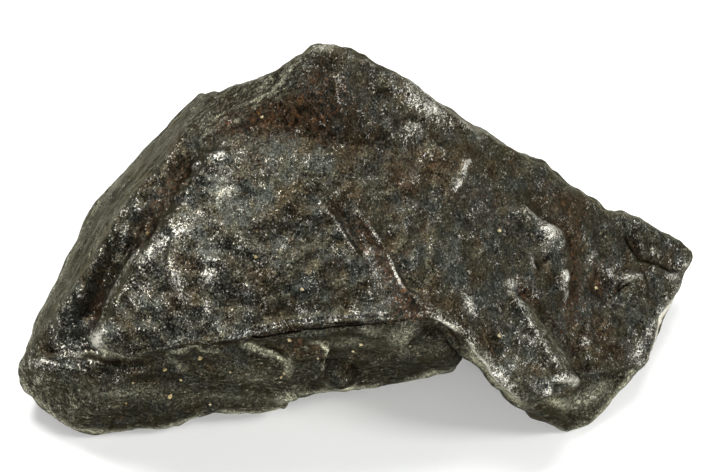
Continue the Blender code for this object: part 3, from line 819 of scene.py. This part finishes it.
from_middle = add_node(
    iron_nodes, "ShaderNodeVectorMath", {0: millimetres, 1: STREAK_MIDDLE}, operation="SUBTRACT"
)[0]
east, north, up = add_node(iron_nodes, "ShaderNodeSeparateXYZ", {0: from_middle})
angle = add_node(iron_nodes, "ShaderNodeMath", {0: east, 1: north}, operation="ARCTAN2")[0]
round_about = add_node(
    iron_nodes, "ShaderNodeMath", {0: angle, 1: STREAK_RADIUS * STREAK_SHRINK}, operation="MULTIPLY"
)[0]
flat_offset = add_node(iron_nodes, "ShaderNodeCombineXYZ", {0: east, 1: north})[0]
outwards = add_node(
    iron_nodes, "ShaderNodeVectorMath", {0: flat_offset}, operation="LENGTH"
)["Value"]
along_flank = add_node(iron_nodes, "ShaderNodeCombineXYZ", {0: round_about, 1: outwards, 2: up})[0]

# Crystals and glints, each of its own tone and tilt. Torn grains are about a tenth of a millimetre
# across, with finer ones between them. The fine ones are too small to show, so the glints are drawn
# as coarse as they need to be to show.
CRYSTAL_MM = 0.105
GLINT_MM = 0.06
tilts = []
for name, size in (("glint", GLINT_MM), ("crystal", CRYSTAL_MM)):
    cells = {"Vector": along_grain, "Scale": 1 / size}
    tilts.append(add_node(iron_nodes, "ShaderNodeTexVoronoi", cells)["Color"])
    parts = add_node(iron_nodes, "ShaderNodeSeparateColor", {0: tilts[-1]})
    for channel, part in zip(("red", "green", "blue"), parts):
        found[f"{name}_{channel}"] = part

# Each cloud: how many millimetres wide its patches are, its detail and roughness, what it runs
# along, and between which of its values it rises from 0 to 1. Two stay as they are.
CLOUDS = {
    "brown_patches": (2.4, 4.0, 0.60, along_grain, 0.42, 0.60),
    "olive_patches": (1.1, 5.0, 0.65, along_grain, 0.46, 0.62),
    "rust_patches": (1.7, 5.0, 0.65, along_grain, 0.54, 0.78),
    "rust_grain": (0.33, 4.0, 0.70, along_grain, 0.40, 0.62),
    "bright_rust": (0.4, 3.0, 0.60, along_grain, 0.50, 0.84),
    "worn_and_highlit_grain": (0.5, 4.0, 0.70, along_grain, 0.36, 0.62),
    "pit_walls": (0.5, 4.0, 0.70, along_grain, 0.34, 0.50),
    "painted_shade_grain": (0.26, 5.0, 0.80, along_grain, 0.36, 0.62),
    "crust_and_sheen_grain": (0.28, 4.0, 0.70, along_grain, 0.34, 0.62),
    "shiny_patches": (0.8, 4.0, 0.65, along_grain, 0.40, 0.75),
    "flank_threads": (0.27, 6.0, 0.80, along_flank, 0.47, 0.61),
    "wall_threads": (0.22, 6.0, 0.75, along_wall, 0.49, 0.66),
    "wall_patches": (2.8, 4.0, 0.60, along_grain, 0.40, 0.58),
    "pores": (0.15, 3.0, 0.70, along_grain, None, None),
    "lumps": (0.55, 4.0, 0.60, along_grain, None, None),
}
for name, (size, detail, roughness, places, low, high) in CLOUDS.items():
    cloud = {"Vector": places, "Scale": 1 / size, "Detail": detail, "Roughness": roughness}
    found[name] = add_node(iron_nodes, "ShaderNodeTexNoise", cloud)[0]
    if high is not None:
        rise = {0: found[name], 1: low, 2: high}
        found[name] = add_node(
            iron_nodes, "ShaderNodeMapRange", rise, interpolation_type="SMOOTHSTEP"
        )[0]

# The sums that lead from all of these to each layer's share of the skin and to its gloss. Each names
# its result, the sum, and what goes in: a number, or the name of something found before it.
# MULTIPLY_ADD multiplies the first two and adds the third. SMOOTHSTEP rises from 0 to 1 while the
# first goes from the second to the third.
SUMS = (
    # Pale threads along the steep sides, in patches on the wall.
    ("flank_crust", "MULTIPLY", "flank_threads", "flank_streaks"),
    ("wall_crust", "MULTIPLY", "wall_threads", "wall_streaks"),
    ("wall_crust", "MULTIPLY", "wall_crust", "wall_patches"),
    ("wall_crust", "MULTIPLY", "wall_crust", 1.5),
    ("threads", "MULTIPLY_ADD", "flank_crust", 1.7, "wall_crust"),
    # The pale marks are partly crust and partly painted sheen, where rims face the white floor.
    ("crust_and_sheen_break", "MULTIPLY_ADD", "crust_and_sheen_grain", 0.7, 0.3),
    ("crust_and_sheen", "MULTIPLY", "pale", "crust_and_sheen_break"),
    ("crust_and_sheen", "MULTIPLY", "crust_and_sheen", 0.85),
    ("crust_and_sheen_share", "MULTIPLY_ADD", "threads", 0.40, "crust_and_sheen"),
    # Rust in hollows and where it has settled, broken up by the grain.
    ("rust", "MULTIPLY_ADD", "hollow", 0.15, "rusty"),
    ("rust", "MULTIPLY_ADD", "rust_patches", 0.7, "rust"),
    ("broken_rust", "MULTIPLY", "rust", "rust_grain"),
    ("rust_share", "MULTIPLY", "broken_rust", 0.8),
    # Browner steep sides, grey worn metal that is partly a painted highlight, and pores that the wear and
    # the painted highlight close.
    ("wall_brown", "MULTIPLY", "wall_streaks", 0.42),
    ("brown_share", "MULTIPLY_ADD", "flank_streaks", 0.3, "wall_brown"),
    ("worn_and_highlit", "MULTIPLY", "wear_and_highlight", "worn_and_highlit_grain"),
    ("worn_and_highlit", "MULTIPLY", "worn_and_highlit", 0.45),
    ("worn_and_highlit_share", "MINIMUM", "worn_and_highlit", 0.8),
    ("pore_walls", "SMOOTHSTEP", "pores", 0.36, 0.60),
    ("open_pores", "MULTIPLY_ADD", "pore_walls", -0.65, 0.65),
    ("open_pits", "MULTIPLY_ADD", "pit_walls", -0.6, 0.6),
    ("holes", "MAXIMUM", "open_pores", "open_pits"),
    ("unworn_and_highlit", "MULTIPLY_ADD", "worn_and_highlit_share", -1.0, 1.0),
    ("pore_share", "MULTIPLY", "holes", "unworn_and_highlit"),
    # Painted shade in hollows and creases, broken up by a grain.
    ("painted_shade_places", "MULTIPLY", "painted_shade", 0.95),
    ("painted_shade_places", "MULTIPLY_ADD", "hollow", 0.4, "painted_shade_places"),
    ("broken_painted_shade", "MULTIPLY", "painted_shade_places", "painted_shade_grain"),
    ("painted_shade_share", "MULTIPLY", "broken_painted_shade", 0.92),
    # Bare metal: thick on proud places and on the rubbed places that are partly painted highlights, and
    # thin where the painted shade or the wall dulls it.
    ("lustre", "MULTIPLY", "proud", 0.16),
    ("lustre", "MULTIPLY_ADD", "wear_and_highlight", 0.34, "lustre"),
    ("lustre", "MULTIPLY_ADD", "shiny_patches", 0.30, "lustre"),
    ("lustre", "MULTIPLY_ADD", "painted_shade_share", -0.12, "lustre"),
    ("kept_lustre", "MULTIPLY_ADD", "wall_streaks", -0.17, "lustre"),
    ("chance", "MULTIPLY", "glint_red", 0.5),
    ("chance", "MULTIPLY_ADD", "crystal_red", 0.5, "chance"),
    ("chance", "ADD", "chance", "kept_lustre"),
    ("bare", "SMOOTHSTEP", "chance", 0.88, 1.10),
    # Bright steel gathers on the rubbed places, as painted highlights.
    ("steel_places", "MULTIPLY_ADD", "wear_and_highlight", 0.25, 0.42),
    ("steel_share", "MULTIPLY", "bare", "steel_places"),
    # Light and dark grains, with more contrast on the steep sides.
    ("side", "MAXIMUM", "wall_streaks", "flank_streaks"),
    ("contrast", "MULTIPLY_ADD", "side", 0.9, 1.9),
    ("darkest", "MULTIPLY_ADD", "side", -0.2, 0.5),
    ("grain", "MULTIPLY", "glint_blue", "crystal_blue"),
    ("grain", "MULTIPLY_ADD", "grain", "contrast", "darkest"),
    # Rust, crust and the painted sheen aren't metal, and they are duller than it.
    ("metal", "MULTIPLY_ADD", "rust_share", -0.4, 1.0),
    ("metal_share", "MULTIPLY_ADD", "crust_and_sheen_share", -0.8, "metal"),
    ("metallic", "MAXIMUM", "metal_share", "bare"),
    ("dull", "MAXIMUM", "rust_share", "crust_and_sheen_share"),
    ("roughness", "MULTIPLY_ADD", "dull", 0.25, 0.20),
    ("roughness", "MULTIPLY_ADD", "pores", 0.25, "roughness"),
    ("side_dull", "MULTIPLY", "wall_streaks", 0.12),
    ("side_dull", "MULTIPLY_ADD", "flank_streaks", 0.20, "side_dull"),
    ("roughness", "ADD", "roughness", "side_dull"),
    ("roughness", "MULTIPLY_ADD", "bare", -0.03, "roughness"),
    # Relief that is too fine for the mesh, in millimetres, and how far each crystal is tilted.
    ("height", "MULTIPLY", "pores", 0.05),
    ("height", "MULTIPLY_ADD", "lumps", 0.10, "height"),
    ("height", "MULTIPLY_ADD", "threads", 0.12, "height"),
    ("tilt_size", "MULTIPLY_ADD", "bare", 0.08, 0.17),
)
KEPT_BETWEEN_0_AND_1 = {
    "crust_and_sheen_share", "broken_rust", "broken_painted_shade", "kept_lustre", "steel_share", "metal_share",
}
for name, operation, *values in SUMS:
    inputs = {number: found.get(value, value) for number, value in enumerate(values)}
    if operation == "SMOOTHSTEP":
        found[name] = add_node(
            iron_nodes, "ShaderNodeMapRange", inputs, interpolation_type=operation
        )[0]
    else:
        clamped = name in KEPT_BETWEEN_0_AND_1
        found[name] = add_node(
            iron_nodes, "ShaderNodeMath", inputs, operation=operation, use_clamp=clamped
        )[0]

# The layers of the hide from the oxide up, each with its share of the skin. The grain lightens and
# darkens them all, and bare steel lies on top. A Mix node takes its share at input 0 and its two
# colours at 6 and 7, and its colour comes out at 2.
rusts = {0: found["bright_rust"], 6: colour(DEEP_RUST), 7: colour(BRIGHT_RUST)}
LAYERS = (
    ("brown_patches", colour(BROWN_OXIDE)),
    ("olive_patches", colour(OLIVE_OXIDE)),
    ("brown_share", colour(WALL_BROWN)),
    # Grey worn metal, partly a painted highlight.
    ("worn_and_highlit_share", colour(WORN_AND_HIGHLIT_GREY)),
    ("pore_share", colour(DARK_PORE)),
    # Painted shade, dark brown, in the creases, the undercut and the pits.
    ("painted_shade_share", colour(PAINTED_SHADE_BROWN)),
    ("rust_share", add_node(iron_nodes, "ShaderNodeMix", rusts, data_type="RGBA")[2]),
    # Pale crust, partly painted sheen.
    ("crust_and_sheen_share", colour(PALE_CRUST_AND_SHEEN)),
)
hide = colour(BLUE_GREY_OXIDE)
for share, layer in LAYERS:
    blend = {0: found[share], 6: hide, 7: layer}
    hide = add_node(iron_nodes, "ShaderNodeMix", blend, data_type="RGBA")[2]
grainy = {0: hide, "Scale": found["grain"]}
hide = add_node(iron_nodes, "ShaderNodeVectorMath", grainy, operation="SCALE")[0]
steels = {0: found["crystal_green"], 6: colour(COOL_STEEL), 7: colour(WARM_STEEL)}
steel = add_node(iron_nodes, "ShaderNodeMix", steels, data_type="RGBA")[2]
blend = {0: found["steel_share"], 6: hide, 7: steel}
hide = add_node(iron_nodes, "ShaderNodeMix", blend, data_type="RGBA")[2]

# Each crystal turns its mirror a little to one side of the bumpy skin, by its own random colour taken
# as a direction. Scale is the fourth input of a vector sum.
bumps = {"Height": found["height"], "Distance": MM, "Strength": 1.0}
TILT_STEPS = (
    ("ADD", 1, tilts[1]),
    ("SUBTRACT", 1, (1.0, 1.0, 1.0)),
    ("SCALE", 3, found["tilt_size"]),
    ("ADD", 1, add_node(iron_nodes, "ShaderNodeBump", bumps)[0]),
    ("NORMALIZE", 1, (0.0, 0.0, 0.0)),
)
facets = tilts[0]
for operation, number, value in TILT_STEPS:
    facets = add_node(
        iron_nodes, "ShaderNodeVectorMath", {0: facets, number: value}, operation=operation
    )[0]

iron_nodes.links.new(hide, shader.inputs["Base Color"])
iron_nodes.links.new(found["metallic"], shader.inputs["Metallic"])
iron_nodes.links.new(found["roughness"], shader.inputs["Roughness"])
iron_nodes.links.new(facets, shader.inputs["Normal"])
shader.inputs["Specular Tint"].default_value = colour(EDGE_TINT)
thin_mesh.materials.append(iron)

# Lodged grains. Tiny cream, yellow and amber mineral grains that were pressed into the hide where the
# fragment lay. Each is a separate worn pebble, sunk a little way into the metal. Each grain: its place
# on the photograph, its width, and its tone from cream at 0 to amber at 1.
GRAINS = (
    (148, 234, 0.27, 0.55), (262, 117, 0.20, 0.25), (256, 257, 0.21, 0.60), (302, 290, 0.23, 0.40),
    (499, 231, 0.27, 0.15), (499, 336, 0.26, 0.20), (596, 288, 0.26, 0.30), (289, 339, 0.26, 0.55),
    (361, 344, 0.27, 0.30), (353, 351, 0.17, 0.20), (200, 358, 0.27, 0.60), (284, 373, 0.21, 0.35),
    (281, 377, 0.23, 0.60), (210, 404, 0.18, 0.05), (126, 403, 0.17, 0.95), (170, 396, 0.29, 0.55),
    (165, 369, 0.30, 0.70), (181, 380, 0.20, 0.50), (133, 383, 0.15, 0.40), (318, 358, 0.15, 0.35),
    (230, 372, 0.14, 0.20), (410, 346, 0.15, 0.15),
)
GRAIN_SINK = 0.42
GRAIN_UNEVEN = 0.45
DENT_SHARE = 0.5

chips = bmesh.new()
tone_layer = chips.verts.layers.float.new("tone")
hard_rock = rock.evaluated_get(bpy.context.evaluated_depsgraph_get())
for across, down, size, tone in GRAINS:
    aimed_at = AIM + PICTURE_RIGHT * (across - PHOTO_WIDTH / 2) * PIXEL
    aimed_at -= PICTURE_UP * (down - PHOTO_HEIGHT / 2) * PIXEL
    _, touched, facing_out, _ = hard_rock.ray_cast(EYE * MM, (aimed_at - EYE).normalized())
    middle = touched + facing_out * size / 2 * MM * (1 - 2 * GRAIN_SINK)
    chip = bmesh.ops.create_icosphere(
        chips, subdivisions=2, radius=size / 2 * MM, matrix=Matrix.Translation(middle)
    )
    for vert in chip["verts"]:
        seed = Vector((across, down, size))
        dent = noise.noise(vert.co / (DENT_SHARE * size * MM) + seed)
        vert.co += (vert.co - middle) * dent * 2 * GRAIN_UNEVEN
        vert[tone_layer] = tone
chips_mesh = bpy.data.meshes.new("lodged_grains")
chips.to_mesh(chips_mesh)
chips.free()
grains = bpy.data.objects.new("lodged_grains", chips_mesh)
bpy.context.scene.collection.objects.link(grains)
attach(grains, "root")

# Water-worn quartz and feldspar: glassy, but dulled by soil on their faces.
GRAIN_CREAM = "#a59c78"
GRAIN_AMBER = "#7a5e22"
QUARTZ_ROUGHNESS = 0.4
QUARTZ_IOR = 1.54
sand = bpy.data.materials.new("worn_and_highlit_quartz_sand")
sand.use_nodes = True
sand_nodes = sand.node_tree
sand_shader = sand_nodes.nodes["Principled BSDF"]
tone_here = add_node(sand_nodes, "ShaderNodeAttribute", attribute_name="tone")["Fac"]
tones = {0: tone_here, 6: colour(GRAIN_CREAM), 7: colour(GRAIN_AMBER)}
sand_colour = add_node(sand_nodes, "ShaderNodeMix", tones, data_type="RGBA")[2]
sand_nodes.links.new(sand_colour, sand_shader.inputs["Base Color"])
sand_shader.inputs["Roughness"].default_value = QUARTZ_ROUGHNESS
sand_shader.inputs["IOR"].default_value = QUARTZ_IOR
chips_mesh.materials.append(sand)
